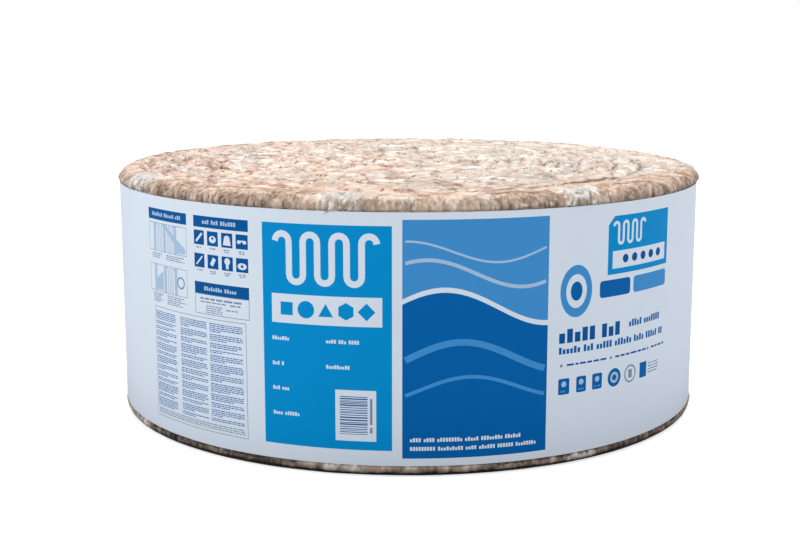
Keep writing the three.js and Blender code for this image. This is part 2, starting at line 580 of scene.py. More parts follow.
def rim_relief(base, azimuth, rim, low, gaping, is_top):
    """The height of the rim's relief, how far its tufts are pale, and the shade painted between its pleats
    and into the gaps of its tufts.
    """
    strands = pattern("strands", base) + 0.9 * (1 - low) - 0.3 * low
    pale = marked(PALE_TUFTS, base, azimuth) * smoothstep(0.02, 0.5, rim) * smoothstep(-0.4, 0.3, strands)
    pale = pale * (1 if is_top else 0.7)
    crumple = pattern("crumple", base)
    mouths = smoothstep(0.42 * low**1.3 + 0.02, 0, np.abs(pattern("pleats", base)))
    height = 1.2 * MM * pattern("uneven", base) - 0.6 * MM
    height -= 3.4 * MM * low * gaping * mouths
    height += MM * folded(pattern("creping", base))
    height += 2.4 * MM * pale * (crumple + 0.3)
    gap_shade = rim * low**1.6 * (0.1 + 0.9 * gaping) * mouths * (1 - 0.6 * pale)
    return height, pale, gap_shade + 0.7 * pale * smoothstep(-0.25, -0.7, crumple)


class CoilEnd:
    """One end of the coil with its rounded corner, as far as a little way behind the film. Places on it are
    given as a distance along its section, out from the axis, and an azimuth."""

    def __init__(self, flat_height, facing, corner_width, film_edge):
        self.facing = facing
        self.flat_radius = BULGE_RADIUS - corner_width
        bulge_height = film_edge + facing * BULGE_RISE
        corner_height = abs(flat_height - bulge_height)
        turn = np.linspace(0, math.pi / 2, 40)
        corner_radius = self.flat_radius + corner_width * np.sin(turn)
        corner = bulge_height + facing * corner_height * np.cos(turn)
        self.radius = np.concatenate([[0], corner_radius, [WAIST_RADIUS, WAIST_RADIUS]])
        self.height = np.concatenate([[flat_height], corner, [film_edge, film_edge - facing * TUCK]])
        run = np.hypot(np.diff(self.radius), np.diff(self.height))
        self.length = np.concatenate([[0], np.cumsum(run)])
        self.edge = self.length[-2]
        self.end = self.length[-1]

    def section(self, distance):
        """Radius, height, and the outward normal's two parts."""
        def at(place):
            return np.interp(place, self.length, self.radius), np.interp(place, self.length, self.height)

        step = 1e-4
        radius_ahead, height_ahead = at(distance + step)
        radius_behind, height_behind = at(distance - step)
        run, rise = radius_ahead - radius_behind, height_ahead - height_behind
        size = np.maximum(np.hypot(run, rise), 1e-9)
        return *at(distance), -self.facing * rise / size, self.facing * run / size

    def skin(self, distance, azimuth):
        """Points on the wool's surface, its normals, and the fields that its material reads."""
        radius, height, normal_r, normal_z = self.section(distance)
        base = polar(radius, azimuth, height)
        normal = polar(normal_r, azimuth, normal_z)
        is_top = self.facing > 0
        gaping = marked(GAPING, base, azimuth)
        rim = smoothstep(-10 * MM, 15 * MM, distance - self.flat_radius + 16 * MM * gaping * is_top)
        low = smoothstep(self.flat_radius + 6 * MM, self.edge - 1 * MM, distance)
        bare = smoothstep(self.edge, self.edge - 4 * MM, distance)
        gaping = 0.15 + 0.85 * gaping

        top, fields = end_relief(base, radius, azimuth, rim, is_top)
        side, pale, gap_shade = rim_relief(base, azimuth, rim, low, gaping, is_top)
        lift = bare * ((1 - rim) * top + rim * side)
        if not is_top:  # the roll's weight flattens the end that it stands on
            lift = lift * (0.15 + 0.85 * smoothstep(1 * MM, 9 * MM, height))
        points = base + normal * lift[:, None]
        if is_top:
            points[:, 2] += 2.2 * MM * (1 - low)
        points[:, 2] = np.clip(points[:, 2], 0, None)

        # The painted shade in the gaps from both reliefs adds up. Painted shade under the roll: the lower end
        # is darker all over in mottled patches, more where its pleats gape, and darkest close to the floor.
        under_shade = 0.42 + 0.3 * gaping + 0.4 * pattern("under_shade", base) + 0.25 * pattern("under_shade_bands", base)
        fields["gap_shade"] = fields["gap_shade"] + gap_shade
        fields["shadow"] = under_shade * (1 - 0.5 * pale) * (not is_top) + smoothstep(9 * MM, 2 * MM, height)
        fields.update(rim=rim, low=low, pale=pale, gaping=gaping)
        return points, normal, fields

    def wisps(self, name, material, seed, clumps, fibres, span, lie, length, spread, rise, thickness, shade,
              stand, near=None):
        """Loose fibres that lie on the skin in clumps, with their ends tucked in. The numbers are a row of
        WISPS."""
        steps, sides = 4, 3
        random = np.random.default_rng(seed)
        every = (clumps * fibres, 1)

        def shared(values):
            return np.repeat(values, fibres)[:, None]

        low, high = span
        distance = shared(np.sqrt(random.uniform(low**2, high**2, clumps)))
        azimuth = random.uniform(0, TAU, clumps)
        if near:
            centre, half_width, strength = np.radians(near).T
            share = half_width * strength
            chosen = random.choice(len(near), clumps, p=share / share.sum())
            azimuth = centre[chosen] + half_width[chosen] * random.uniform(-0.9, 0.9, clumps)
        azimuth = shared(azimuth)
        combed = ringed(azimuth) * (lie[0] == 0)
        turned = shared(random.normal(0, lie[1], clumps)) * (1 - 0.6 * combed)
        heading = np.radians(lie[0] + turned + random.normal(0, 10, every))
        size = shared(random.uniform(*np.multiply(length, MM), clumps))
        size = size * random.uniform(0.6, 1.1, every) * (1 + 0.4 * combed)
        tone = shared(random.normal(*shade, clumps)) + random.normal(0, 0.25, every)
        bend = random.normal(0, 0.13, every) * size
        beside = random.normal(0, spread * MM, every)
        ahead = random.normal(0, 0.22, every) * size

        # Each fibre's path over the skin. Those that would bridge a crease or a dark line are left out.
        t = np.linspace(-0.5, 0.5, steps)
        forward = ahead + size * t
        sideways = beside + bend * 4 * t**2
        along = forward * np.cos(heading) - sideways * np.sin(heading)
        out = forward * np.sin(heading) + sideways * np.cos(heading)
        at = np.clip(distance + out, 2 * MM, self.end)
        around = azimuth + along / np.maximum(np.interp(at, self.length, self.radius), 8 * MM)
        fields = self.skin(at.ravel(), around.ravel())[2]
        clear = fields["crease"].reshape(at.shape).max(axis=1) < 0.3
        clear &= fields["line"].reshape(at.shape).mean(axis=1) < 0.5
        at, around = at[clear], around[clear]

        points, normals, fields = self.skin(at.ravel(), around.ravel())
        normals = normals.reshape(-1, steps, 3)
        arch = (1 - stand) * (1 - (2 * t) ** 2) + stand * (0.5 + t) ** 1.5
        height = random.uniform(*np.multiply(rise, MM), (len(at), 1)) * (1 - 0.15 * combed[clear])
        path = points.reshape(-1, steps, 3) + normals * (height * arch - 0.2 * MM)[..., None]
        half_width = random.uniform(*np.multiply(thickness, MM), (len(at), 1)) / 2
        half_width = half_width * np.maximum(1 - (2 * t) ** 2, 0.3) ** 0.5
        vertices, faces = spindles(path, half_width, 0.7 * half_width, normals, sides)
        vertices[:, 2] = np.clip(vertices[:, 2], 0.2 * MM, None)
        del fields["crease"], fields["line"]
        fields = {key: np.repeat(values, sides, axis=0) for key, values in fields.items()}
        fields["tone"] = np.repeat(tone[clear], steps * sides)
        return make_mesh(name, vertices, faces, [material], fields=fields)

    def mesh(self, name, material, end_steps, rim_steps):
        """A closed half of the coil: this end in detail, and plain from there to half height. The steps are
        the spacing of the vertices along the section and round the axis."""
        corner_start = self.flat_radius - 6 * MM
        distances = np.concatenate([
            np.linspace(end_steps[0], corner_start, int(corner_start / end_steps[0]), endpoint=False),
            np.linspace(corner_start, self.end, int((self.end - corner_start) / rim_steps[0])),
        ])
        radii = np.interp(distances, self.length, self.radius)
        ease = smoothstep(corner_start - 20 * MM, corner_start, distances)
        steps = end_steps[1] + (rim_steps[1] - end_steps[1]) * ease
        counts = np.maximum(8, TAU * radii / steps).astype(int)
        distance = np.repeat(distances, counts)
        azimuth = np.concatenate([np.arange(n) / n * TAU for n in counts])
        points, _, fields = self.skin(distance, azimuth)
        pole, _, pole_fields = self.skin(np.zeros(1), np.zeros(1))
        round_waist = np.arange(counts[-1]) / counts[-1] * TAU
        middle = polar(np.full(counts[-1], WAIST_RADIUS), round_waist, ROLL_HEIGHT / 2)
        vertices = np.concatenate([points, pole, middle, [[0, 0, ROLL_HEIGHT / 2]]])

        starts = np.concatenate([[0], np.cumsum(counts)])
        first_middle = len(points) + 1
        last = len(vertices) - 1
        triangles = []
        for i in range(len(counts) - 1):
            triangles += bridge(starts[i + 1], counts[i + 1], starts[i], counts[i])
        triangles += bridge(first_middle, counts[-1], starts[-2], counts[-1])
        triangles += fan(0, counts[0], len(points))
        triangles += [(after, before, tip) for before, after, tip in fan(first_middle, counts[-1], last)]
        triangles = np.array(triangles)
        if self.facing < 0:
            triangles = triangles[:, ::-1]
        for key, values in fields.items():
            hidden = np.zeros((counts[-1] + 1, *values.shape[1:]))
            fields[key] = np.concatenate([values, pole_fields[key], hidden])
        return make_mesh(name, vertices, [triangles], [material], fields=fields)


def wool_material():
    s = Shader("glass_wool", 0.92, 0.1, Sheen_Weight=0.1, Sheen_Roughness=0.6)
    place = s.field("unrolled", "Vector")
    spot = s.object_place()
    rim, low, pale, gaping, tone = (s.field(name) for name in ("rim", "low", "pale", "gaping", "tone"))

    # The flat end, in layers, streaks and patches that run along the turns.
    layers = s.noise(place, (7, 95, 90), 2)
    streaks = s.noise(place, (52, 70, 90), 4, 0.6)
    patches = s.noise(place, (26, 22, 9), 3)
    threads = s.noise(place, (110, 850, 850), 3, 0.6)
    tints = s.noise(place, (17, 15, 5), 1)
    top_tone = s.weighted(
        (streaks, 0.32), (patches, 0.30), (layers, 0.38), (tone, 0.04), (s.minus(threads, 0.5), 0.16),
        (s.field("crown"), 0.095),
    )
    s.colour = s.ramp(
        top_tone, (0.30, 196, 156, 134), (0.37, 232, 195, 173), (0.42, 253, 217, 198), (0.48, 255, 232, 216),
        (0.55, 255, 248, 240),
    )
    s.over(s.field("outer"), s.ramp(
        top_tone, (0.33, 186, 151, 129), (0.41, 220, 187, 163), (0.49, 250, 220, 201), (0.57, 255, 246, 237),
    ))
    s.over(s.spread(tints, 0.54, 0.66, 0, 0.4), (244, 210, 190))
    s.over(s.spread(tints, 0.46, 0.34, 0, 0.35), (255, 226, 202))

    # The rim, combed up and down: a painted highlight on its shoulder, painted shade low down that deepens
    # where the pleats gape, greyer low down, and silvery in its tufts.
    combed = s.noise(spot, (170, 170, 24), 2)
    locks = s.noise(spot, (58, 58, 14), 3, 0.55)
    rim_tone = s.weighted((combed, 0.5), (locks, 0.5))
    shade = s.times(low, s.plus(s.times(gaping, 0.08), 0.02))
    lit_shoulder = s.times(s.spread(low, 0.0, 0.4, 0.11, 0.0), s.spread(gaping, 0.4, 0.9, 1.0, 0.2))
    side_tone = s.minus(s.plus(rim_tone, s.times(tone, 0.04)), s.minus(shade, lit_shoulder))
    side = s.ramp(
        side_tone, (0.30, 140, 116, 102), (0.40, 174, 148, 131), (0.49, 206, 179, 158), (0.60, 246, 223, 203),
    )
    s.over(rim, s.mix(s.times(low, 0.35), side, srgb(168, 158, 150)))
    s.over(pale, s.ramp(
        s.minus(s.plus(rim_tone, 0.03), s.times(low, 0.1)),
        (0.30, 165, 157, 152), (0.36, 214, 209, 205), (0.41, 250, 246, 240), (0.45, 255, 253, 248),
    ))

    # Painted shade on the slopes, in the gaps and in the creases, dust, dark wisps, and painted shadow on
    # what lies under the roll.
    dust = s.spread(s.noise(place, (100, 90, 120), 2, 0.6), 0.66, 0.73, 0, 0.7)
    gap_shade = s.times(s.field("gap_shade"), s.spread(rim, 0, 1, 0.75, 0.8))
    crease = s.times(s.spread(s.field("crease"), 0.25, 0.75), 0.85)
    s.over(s.times(s.field("slope"), 0.48), (200, 162, 136))
    s.over(s.times(dust, s.minus(1.0, rim)), (130, 110, 96))
    s.over(gap_shade, s.mix(rim, srgb(146, 114, 95), srgb(92, 70, 59)))
    s.over(crease, s.ramp(threads, (0.38, 92, 64, 48), (0.5, 122, 88, 68), (0.64, 160, 122, 98)))
    s.over(s.spread(tone, -3, -1.5, 0.8, 0), (158, 134, 120))
    s.over(s.field("shadow"), (24, 18, 15))

    # Tangled fibres as bump, with less of it in the silvery tufts, whose fibres are in the mesh.
    level = (0.5, 0.5, 0.5)
    hairs = s.noise(spot, (900, 900, 120), 3, 0.6)
    felt = s.noise(place, (130, 330, 330), 4, 0.7)
    coarse = s.mix(s.times(pale, 0.6), s.mix(rim, felt, combed), level)
    fine = s.mix(s.times(pale, 0.6), s.mix(rim, threads, s.mix(0.4, combed, hairs)), level)
    return s.finish(s.bump(fine, 0.8, 1.2 * MM, s.bump(coarse, 0.7, 1.6 * MM)))


def paper_material():
    s = Shader("kraft_paper", 0.8, 0.2)
    spot = s.object_place()
    mottle = s.noise(spot, 90, 4, 0.55)
    pulp = s.noise(spot, (700, 700, 250), 3, 0.6)
    s.colour = s.ramp(mottle, (0.35, 112, 76, 52), (0.5, 146, 104, 72), (0.65, 172, 130, 94))
    return s.finish(s.bump(pulp, 0.5, 0.4 * MM))


def facing_edge(end):
    """The edge of the blanket's paper facing, a thin ribbon that stands in the crease and strays a little."""
    outside, inside = (WOUND_RADIUS - 14 * MM) ** 2, EYE_RADIUS**2
    steps = int(math.pi * (outside - inside) / TURN / (5 * MM))
    spiral = np.sqrt(np.linspace(outside, inside, steps))
    azimuth = TAIL_AZIMUTH + (WOUND_RADIUS - spiral) / TURN * TAU
    radius = spiral
    for _ in range(3):
        radius = spiral - crease_wobble(radius, azimuth)
    skin, _, fields = end.skin(np.minimum(radius, end.flat_radius), azimuth)
    radius = radius + 0.8 * MM * pattern("paper_sway", skin)
    top = skin[:, 2] + 4 * MM * smoothstep(0.3, 0.9, fields["crease"]) - 3 * MM
    top += 0.8 * MM * pattern("paper_rise", skin)
    top += 0.5 * MM * pattern("paper_nicks", polar(spiral * 8, azimuth, 0 * spiral))
    half = 0.3 * MM
    foot = top - 6 * MM
    corners = ((radius - half, top), (radius + half, top), (radius + half, foot), (radius - half, foot))
    rings = np.stack([polar(out, azimuth, up) for out, up in corners], axis=1)
    return make_mesh("facing_edge", *tubes(rings[None]), [paper_material()])


wool = wool_material()
top_end = CoilEnd(ROLL_HEIGHT, 1, CORNER_WIDTH_TOP, FILM_TOP)
bottom_end = CoilEnd(0.0, -1, CORNER_WIDTH_BOTTOM, FILM_BOTTOM)
blanket_upper = top_end.mesh("blanket_upper", wool, (2.9 * MM, 3.4 * MM), (1.9 * MM, 2.4 * MM))

# Distances along the upper end's section: where fibres start, where the flat end stops, and the film's edge.
EYE = 15 * MM
FLAT = top_end.flat_radius
EDGE = top_end.edge
THIN = (0.6, 1.3)  # the thickness of most fibres, in millimetres

# Loose fibres on the upper end: the number of clumps and of fibres in each, the part of the section they grow
# on, and the mean and spread of their lie, in degrees from along the turns. In millimetres, their length, the
# spread of a clump, their height and their thickness. Last, the mean and spread of a clump's shade, how far
# an end stands off, as a share of the height, and the stretches of rim that hold the clumps.
WISPS = {
    "inner": (1100, 8, (EYE, 0.34), (0, 28), (9, 24), 3, (0.8, 4.5), THIN, (0.5, 1.0), 0.6),
    "outer": (1000, 8, (0.34, FLAT + 6 * MM), (0, 30), (12, 32), 3.5, (0.4, 2.8), THIN, (0.2, 0.9), 0.4),
    "white": (500, 9, (EYE, FLAT - 20 * MM), (30, 60), (5, 12), 2.2, (3, 7), (0.8, 1.6), (2.0, 0.6), 0.9),
    "dark": (300, 7, (EYE, FLAT - 20 * MM), (0, 50), (4, 9), 1.5, (1.2, 3.6), THIN, (-3.2, 0.4), 0.8),
    "rim": (
        700, 7, (FLAT + 4 * MM, EDGE - 6 * MM), (90, 18), (8, 24), 4, (0.1, 0.7), (1.0, 2.2), (-0.1, 0.25), 0,
    ),
    "tuft": (150, 8, (FLAT, EDGE - 5 * MM), (90, 30), (8, 20), 2.5, (1, 3.5), THIN, (2, 1), 0.4, PALE_TUFTS),
}
wisps = [
    top_end.wisps(kind + "_wisps", wool, seed, *settings)
    for seed, (kind, settings) in enumerate(WISPS.items(), SEED + 11)
]
paper = facing_edge(top_end)
blanket_lower = bottom_end.mesh("blanket_lower", wool, (5.5 * MM, 7.0 * MM), (1.8 * MM, 2.4 * MM))


# ---- the film's print

# The inks, as displayed.
INKS = {
    "white": (214, 225, 238), "pale": (165, 191, 219), "grey": (124, 143, 169), "cyan": (0, 139, 205),
    "mid": (64, 142, 206), "deep": (0, 96, 168), "navy": (0, 84, 150),
}
WHITE, PALE, GREY, CYAN, MID, DEEP, NAVY = INKS


class Print:
    """What is printed on the film, in millimetres: u round it from the middle of the front, counterclockwise
    seen from above, and v up from its lower edge. A later shape lies over an earlier one. None of it can be
    read: rows of blocks stand where text would be."""

    def __init__(self, seed):
        self.shapes = []
        self.random = np.random.default_rng(seed)

    def shape(self, ink, points):
        self.shapes.append((ink, np.asarray(points, float)))

    def box(self, ink, left, right, low, high):
        self.shape(ink, [(left, low), (right, low), (right, high), (left, high)])

    def round_box(self, ink, left, right, low, high, radius):
        centres = [(right - radius, low + radius, -90), (right - radius, high - radius, 0),
                   (left + radius, high - radius, 90), (left + radius, low + radius, 180)]
        turns = [(u, v, math.radians(start + turn)) for u, v, start in centres for turn in (0, 30, 60, 90)]
        self.shape(ink, [(u + radius * math.cos(turn), v + radius * math.sin(turn)) for u, v, turn in turns])

    def frame(self, ink, left, right, low, high, width):
        self.box(ink, left, right, low, high)
        self.box(WHITE, left + width, right - width, low + width, high - width)

    def disc(self, ink, u, v, radius, flats, tall=1.0):
        turn = np.arange(flats) / flats * TAU
        self.shape(ink, np.stack([u + radius * np.cos(turn), v + tall * radius * np.sin(turn)], axis=1))

    def discs(self, u, v, *rings, tall=1.0):
        """Discs on one centre, each given by its ink, radius and flats."""
        for ink, radius, flats in rings:
            self.disc(ink, u, v, radius, flats, tall)

    def stroke(self, ink, path, width):
        """A line of even width along a path that doesn't turn tighter than half its width."""
        path = np.asarray(path, float)
        along = unit(np.gradient(path, axis=0))
        beside = np.stack([-along[:, 1], along[:, 0]], axis=1) * width / 2
        self.shape(ink, np.concatenate([path - beside, (path + beside)[::-1]]))

    def words(self, ink, left, right, low, high, letter=None):
        """A row of text as plain blocks: one for each word, or for each letter of the width given."""
        height = high - low
        u = left
        while u < right - 1.2 * height:
            length = self.random.integers(3, 10)
            if letter:
                for _ in range(length):
                    if u + letter > right:
                        return
                    cut = self.random.choice([0, 0, 0.28]) * height
                    self.box(ink, u, u + letter * 0.74, low, high - cut)
                    u += letter
                u += 0.75 * letter
            else:
                end = min(u + 0.62 * height * length, right)
                self.box(ink, u, end, low, high)
                u = end + 0.9 * height

    def title(self, left, right, low, high, text, letter):
        """A dark bar with a row of pale letters."""
        self.box(NAVY, left, right, low, high)
        self.words(PALE, *text, letter)

    def lines(self, ink, left, right, tops, size=1.5):
        for v in tops:
            self.words(ink, left, right, v - size, v)

    def paragraphs(self, ink, left, right, low, high, size=1.35, pitch=2.7):
        """A column of small text, broken into paragraphs."""
        v = high
        rows = 0
        while v - size > low:
            if rows == 0:
                rows = self.random.integers(2, 6)
                v -= 1.9
                continue
            rows -= 1
            end = right if rows else left + (right - left) * self.random.uniform(0.35, 0.95)
            self.words(ink, left, end, v - size, v)
            v -= pitch


def wave(left, right, level, rise, length, start):
    u = np.linspace(left, right, int((right - left) / 6) + 2)
    return np.stack([u, level + rise * np.sin(TAU * (u - left) / length + start)], axis=1)


def batt_line(left, right, low, high, lobes):
    """The folded line that stands for insulation in a section drawing."""
    radius = (right - left) / lobes / 2
    points = []
    for i in range(lobes):
        u = left + (2 * i + 1) * radius
        up = 1 if i % 2 == 0 else -1
        level = high - radius if up > 0 else low + radius
        turn = np.linspace(math.pi, 0, 9)
        points += [(u + radius * math.cos(a), level + up * radius * math.sin(a)) for a in turn]
    return points


# How far each line of a caption falls short of its column.
INDENTS = (0, 3, 7, 2, 9, 5)


def instructions(p):
    """The left of the front: two drawings with captions, eight signs, a small box, and a table."""
    p.title(-439.4, -340.2, 311.2, 327.3, (-428, -352, 316.6, 322.2), 4.3)
    for low, high in ((265.6, 306.9), (206.3, 246.4)):
        p.frame(GREY, -438, -341, low, high, 0.8)
        for u in (-425, -398, -371):
            p.box(PALE, u, u + 7, low + 0.8, high - 0.8)
    p.stroke(GREY, batt_line(-418, -398, 268, 305, 5), 0.9)
    p.stroke(GREY, batt_line(-391, -371, 268, 305, 5), 0.9)
    p.shape(PALE, [(-364, 268), (-344, 268), (-344, 276), (-390, 305), (-399, 305), (-364, 276)])
    p.stroke(GREY, batt_line(-391, -371, 208.5, 244.2, 5), 0.9)
    p.shape(PALE, [(-418, 209), (-400, 209), (-400, 238), (-418, 226)])
    p.discs(-356, 226, (GREY, 9, 24), (WHITE, 6.5, 24))
    for high, rows in ((262.6, 3), (203.6, 5)):
        for row in range(rows):
            v = high - 2.9 * row
            p.words(GREY, -430, -402 - INDENTS[row], v - 1.5, v)
            p.words(GREY, -391, -342 - 2 * INDENTS[row + 1], v - 1.5, v)

    p.title(-324.8, -225, 311.2, 327.3, (-307, -243, 316.4, 322.4), 4.6)
    columns = [(-324.2, -303.8), (-297.7, -277.3), (-271.2, -251.4), (-245.9, -225.6)]
    for row, (low, high) in enumerate(((286.6, 306.9), (254.5, 274.2))):
        for column, (left, right) in enumerate(columns):
            p.box(NAVY, left, right, low, high)
            u, v = (left + right) / 2, (low + high) / 2
            tool_icon(p, 4 * row + column, u, v)
            p.words(GREY, u - 6, u + 6, low - 4.6, low - 3.0)
            if column > 1 - row:
                p.words(GREY, u - 4.4, u + 4.4, low - 7.4, low - 5.8)
    p.frame(GREY, -324.8, -225, 188.4, 217.4, 1.0)
    p.title(-324.8, -225, 217.4, 234.1, (-306, -243, 222.6, 228.4), 4.4)
    p.words(GREY, -314, -238, 209.5, 212.2)
    p.words(GREY, -314, -262, 205.2, 207.0)
    p.words(GREY, -258, -240, 204.6, 206.8)
    p.lines(GREY, -303, -272, (201.6, 198.6, 195.6, 192.6))
    p.words(GREY, -266, -242, 197.6, 199.4)

    p.frame(GREY, -428.3, -231.1, 18.8, 183.5, 0.9)
    for left, right in ((-425.2, -371), (-359.9, -303.2), (-297.1, -237.3)):
        p.paragraphs(DEEP, left, right, 34, 179)
    p.lines(GREY, -424, -236, (31, 28, 25))


def cyan_panel(p):
    """A folded line in large, a white bar of plain shapes, fields to fill in, and a label with bars."""
    p.box(CYAN, -202.8, -21, 20, 327.3)
    p.stroke(WHITE, batt_line(-183, -41, 248, 313, 7), 9)
    p.box(WHITE, -189.2, -33.9, 190.9, 231)
    p.box(CYAN, -176, -158, 202, 220)
    for u, v, flats in ((-139, 211, 24), (-111, 208.5, 3), (-83, 211, 6), (-55, 211, 4)):
        turn = math.pi / 2 + np.arange(flats) / flats * TAU
        p.shape(CYAN, np.stack([u + 12 * np.cos(turn), v + 12 * np.sin(turn)], axis=1))
    for left, right, v in (
        (-189.2, -155.3, 169.3), (-189.2, -168, 134.2), (-189.2, -164, 99.6), (-189.2, -147, 64.4),
        (-110.9, -63.5, 169.3), (-110.9, -75, 134.2),
    ):
        p.words(WHITE, left, right, v - 2.6, v + 2.6, 3.7)
    p.box(WHITE, -98.6, -42.5, 32.4, 103.3)
    v = 41.6
    while v < 94:
        thickness = p.random.choice([0.8, 1.2, 1.9])
        p.box(NAVY, -92.4, -54.2, v, v + thickness)
        v += thickness + p.random.choice([0.9, 1.3, 1.8])
    p.box(GREY, -51, -47.6, 44, 52)
    p.box(GREY, -51, -47.6, 56, 92)


def blue_panel(p):
    """Waves of the film's blues, over two rows of blocks."""
    left, right, low, high = -7.4, 196, 9.5, 335.9
    p.box(MID, left, right, low, high)
    crest = wave(left, right, 212, 26, 300, 0.4)
    p.shape(WHITE, [(left, low), (right, low), *(crest[::-1] + (0, 7))])
    p.shape(DEEP, [(left, low), (right, low), *crest[::-1]])
    for ink, level, rise, length, start, width in (
        (PALE, 262, 20, 270, 0.9, 5), (PALE, 292, 15, 250, 1.5, 3), (MID, 146, 24, 300, 0.0, 9),
        (MID, 104, 18, 280, 5.9, 5),
    ):
        p.stroke(ink, wave(left + 4, right - 4, level, rise, length, start), width)
    p.words(WHITE, 3, 160, 32.6, 38.2, 3.9)
    p.words(WHITE, 3, 186, 20.4, 25.8, 3.9)


def description(p):
    """The right of the front: a badge, an oval, two buttons, and rows of blocks and signs."""
    p.shape(CYAN, [(297, 245.2), (440.6, 245.2), (440.6, 327.3), (309, 327.3), (297, 315.3)])
    p.stroke(WHITE, batt_line(308, 376, 288, 318, 7), 4.4)
    p.box(WHITE, 306.3, 432.6, 253.2, 277.9)
    for i in range(5):
        p.disc(NAVY, 333 + 20 * i, 265.6, 6.2, 16)
    p.discs(241.9, 228.8, (MID, 27, 40), (WHITE, 17.5, 32), (DEEP, 10, 24), tall=1.35)
    p.round_box(DEEP, 283, 345, 214, 238, 5)
    p.round_box(MID, 352, 438, 214, 238, 5)
    p.words(NAVY, 214.5, 330, 157.5, 177.0, 13)
    p.words(DEEP, 345, 440.6, 165.5, 175.5, 6.2)
    p.words(DEEP, 214.5, 440.6, 142.2, 152.0, 6.2)
    for left, right in ((228, 299), (317, 388), (402, 440)):
        p.disc(GREY, left - 9, 126.1, 2.4, 10)
        p.words(NAVY, left, right, 124.8, 127.6)
    for left, right in ((214.5, 233), (244.7, 261.9), (273, 291.5)):
        p.round_box(DEEP, left, right, 84.8, 107.6, 2.5)
        p.disc(PALE, (left + right) / 2, 99.5, 4.2, 14)
        p.words(MID, left + 3, right - 3, 88.2, 90.6)
    p.discs(316.2, 96.2, (DEEP, 13.4, 28), (PALE, 8.2, 24), (DEEP, 4.4, 16))
    p.discs(350.7, 96.2, (GREY, 13.2, 28), (WHITE, 10.6, 24))
    p.box(GREY, 346.6, 354.8, 90, 102.4)
    p.box(DEEP, 373.5, 391, 84.8, 107.6)
    p.lines(GREY, 395, 424, (104, 99.6, 95.2, 90.8), 1.9)


def tool_icon(p, which, u, v):
    """One of eight plain signs, 12 mm across, for the tools that the work needs."""
    if which in (0, 4):
        width = (3.4, 2.4)[which // 4]
        p.stroke(WHITE, [(u - 6, v - 6), (u, v), (u + 6, v + 6)], width)
    elif which == 1:
        p.disc(WHITE, u, v - 1, 6.4, 18, tall=0.8)
        p.disc(NAVY, u, v + 0.5, 2, 10)
    elif which == 2:
        p.shape(WHITE, [(u - 7, v - 7), (u + 7, v - 7), (u + 4.5, v + 5), (u, v + 7), (u - 4.5, v + 5)])
    elif which == 3:
        p.disc(WHITE, u - 4.6, v - 0.6, 3.4, 12, tall=0.7)
        p.disc(WHITE, u + 4.6, v - 0.6, 3.4, 12, tall=0.7)
        p.box(WHITE, u - 7, u + 7, v, v + 2)
    elif which == 5:
        p.stroke(WHITE, [(u - 3, v - 5), (u, v), (u + 3, v + 5)], 6)
    elif which == 6:
        p.disc(WHITE, u, v + 3, 5, 14)
        p.box(WHITE, u - 2.4, u + 2.4, v - 7.5, v)
    else:
        p.disc(WHITE, u, v - 1.5, 7.6, 18, tall=0.62)
        p.disc(NAVY, u, v - 1.5, 2.2, 10)


# ---- the film sleeve

FILM_THICKNESS = 0.25 * MM
LAP_AZIMUTH = math.radians(70)
LAP_WIDTH = 70 * MM
AROUND_STEP = 8 * MM  # flats round the film
UP_STEP = 19 * MM
REGISTER = np.array([0, 1.3 * MM])  # how far the print sits off its place on the sheet
FRONT_AZIMUTH = -math.pi / 2

ripple = Noise(SEED + 3)


def film_surface(around, up, depth=0.0):
    """Points of the film, from metres round it from the middle of the front, up from its lower edge, and in
    from its outer face. The far end of the sheet lies over its near end in the lap."""
    azimuth = around / FILM_RADIUS + FRONT_AZIMUTH
    sheet_end = (LAP_AZIMUTH - FRONT_AZIMUTH) * FILM_RADIUS + LAP_WIDTH / 2
    near_edge = np.minimum(up, FILM_HEIGHT - up)
    place = polar(FILM_RADIUS, azimuth, up)
    lift = 0.35 * MM * ripple(place, (0.12, 0.12, 0.30))
    lift += 0.25 * MM * ripple(place + 1, (0.035, 0.035, 0.16)) * np.exp(-near_edge / (25 * MM))
    lift += 2.2 * FILM_THICKNESS * smoothstep(sheet_end - LAP_WIDTH - 12 * MM, sheet_end - LAP_WIDTH, around)
    return polar(FILM_RADIUS + lift - depth, azimuth, FILM_BOTTOM + up)


def film_material(name, colour):
    s = Shader(name, 0.48, 0.05)
    spot = s.object_place()
    cloud = s.noise(spot, 9, 4, 0.55)
    grains = s.noise(spot, 420, 2, 0.55)
    clouded = s.mix(s.spread(cloud, 0.3, 0.7, 0, 0.08), colour, tuple(0.8 * c for c in colour))
    s.colour = s.mix(s.spread(grains, 0.35, 0.7, 0, 0.06), clouded, tuple(0.7 * c for c in colour))
    creases = s.bump(s.noise(spot, (16, 16, 5), 3), 0.12, 2 * MM)
    return s.finish(s.bump(s.noise(spot, 150, 2, 0.55), 0.04, 0.5 * MM, creases))


def divided(points, step):
    """A closed outline with its sides cut into lengths of at most a step in u."""
    ahead = np.roll(points, -1, axis=0)
    cut = []
    for start, end in zip(points, ahead):
        count = max(1, math.ceil(abs(end[0] - start[0]) / step))
        cut.append(start + (end - start) * np.arange(count)[:, None] / count)
    return np.concatenate(cut)


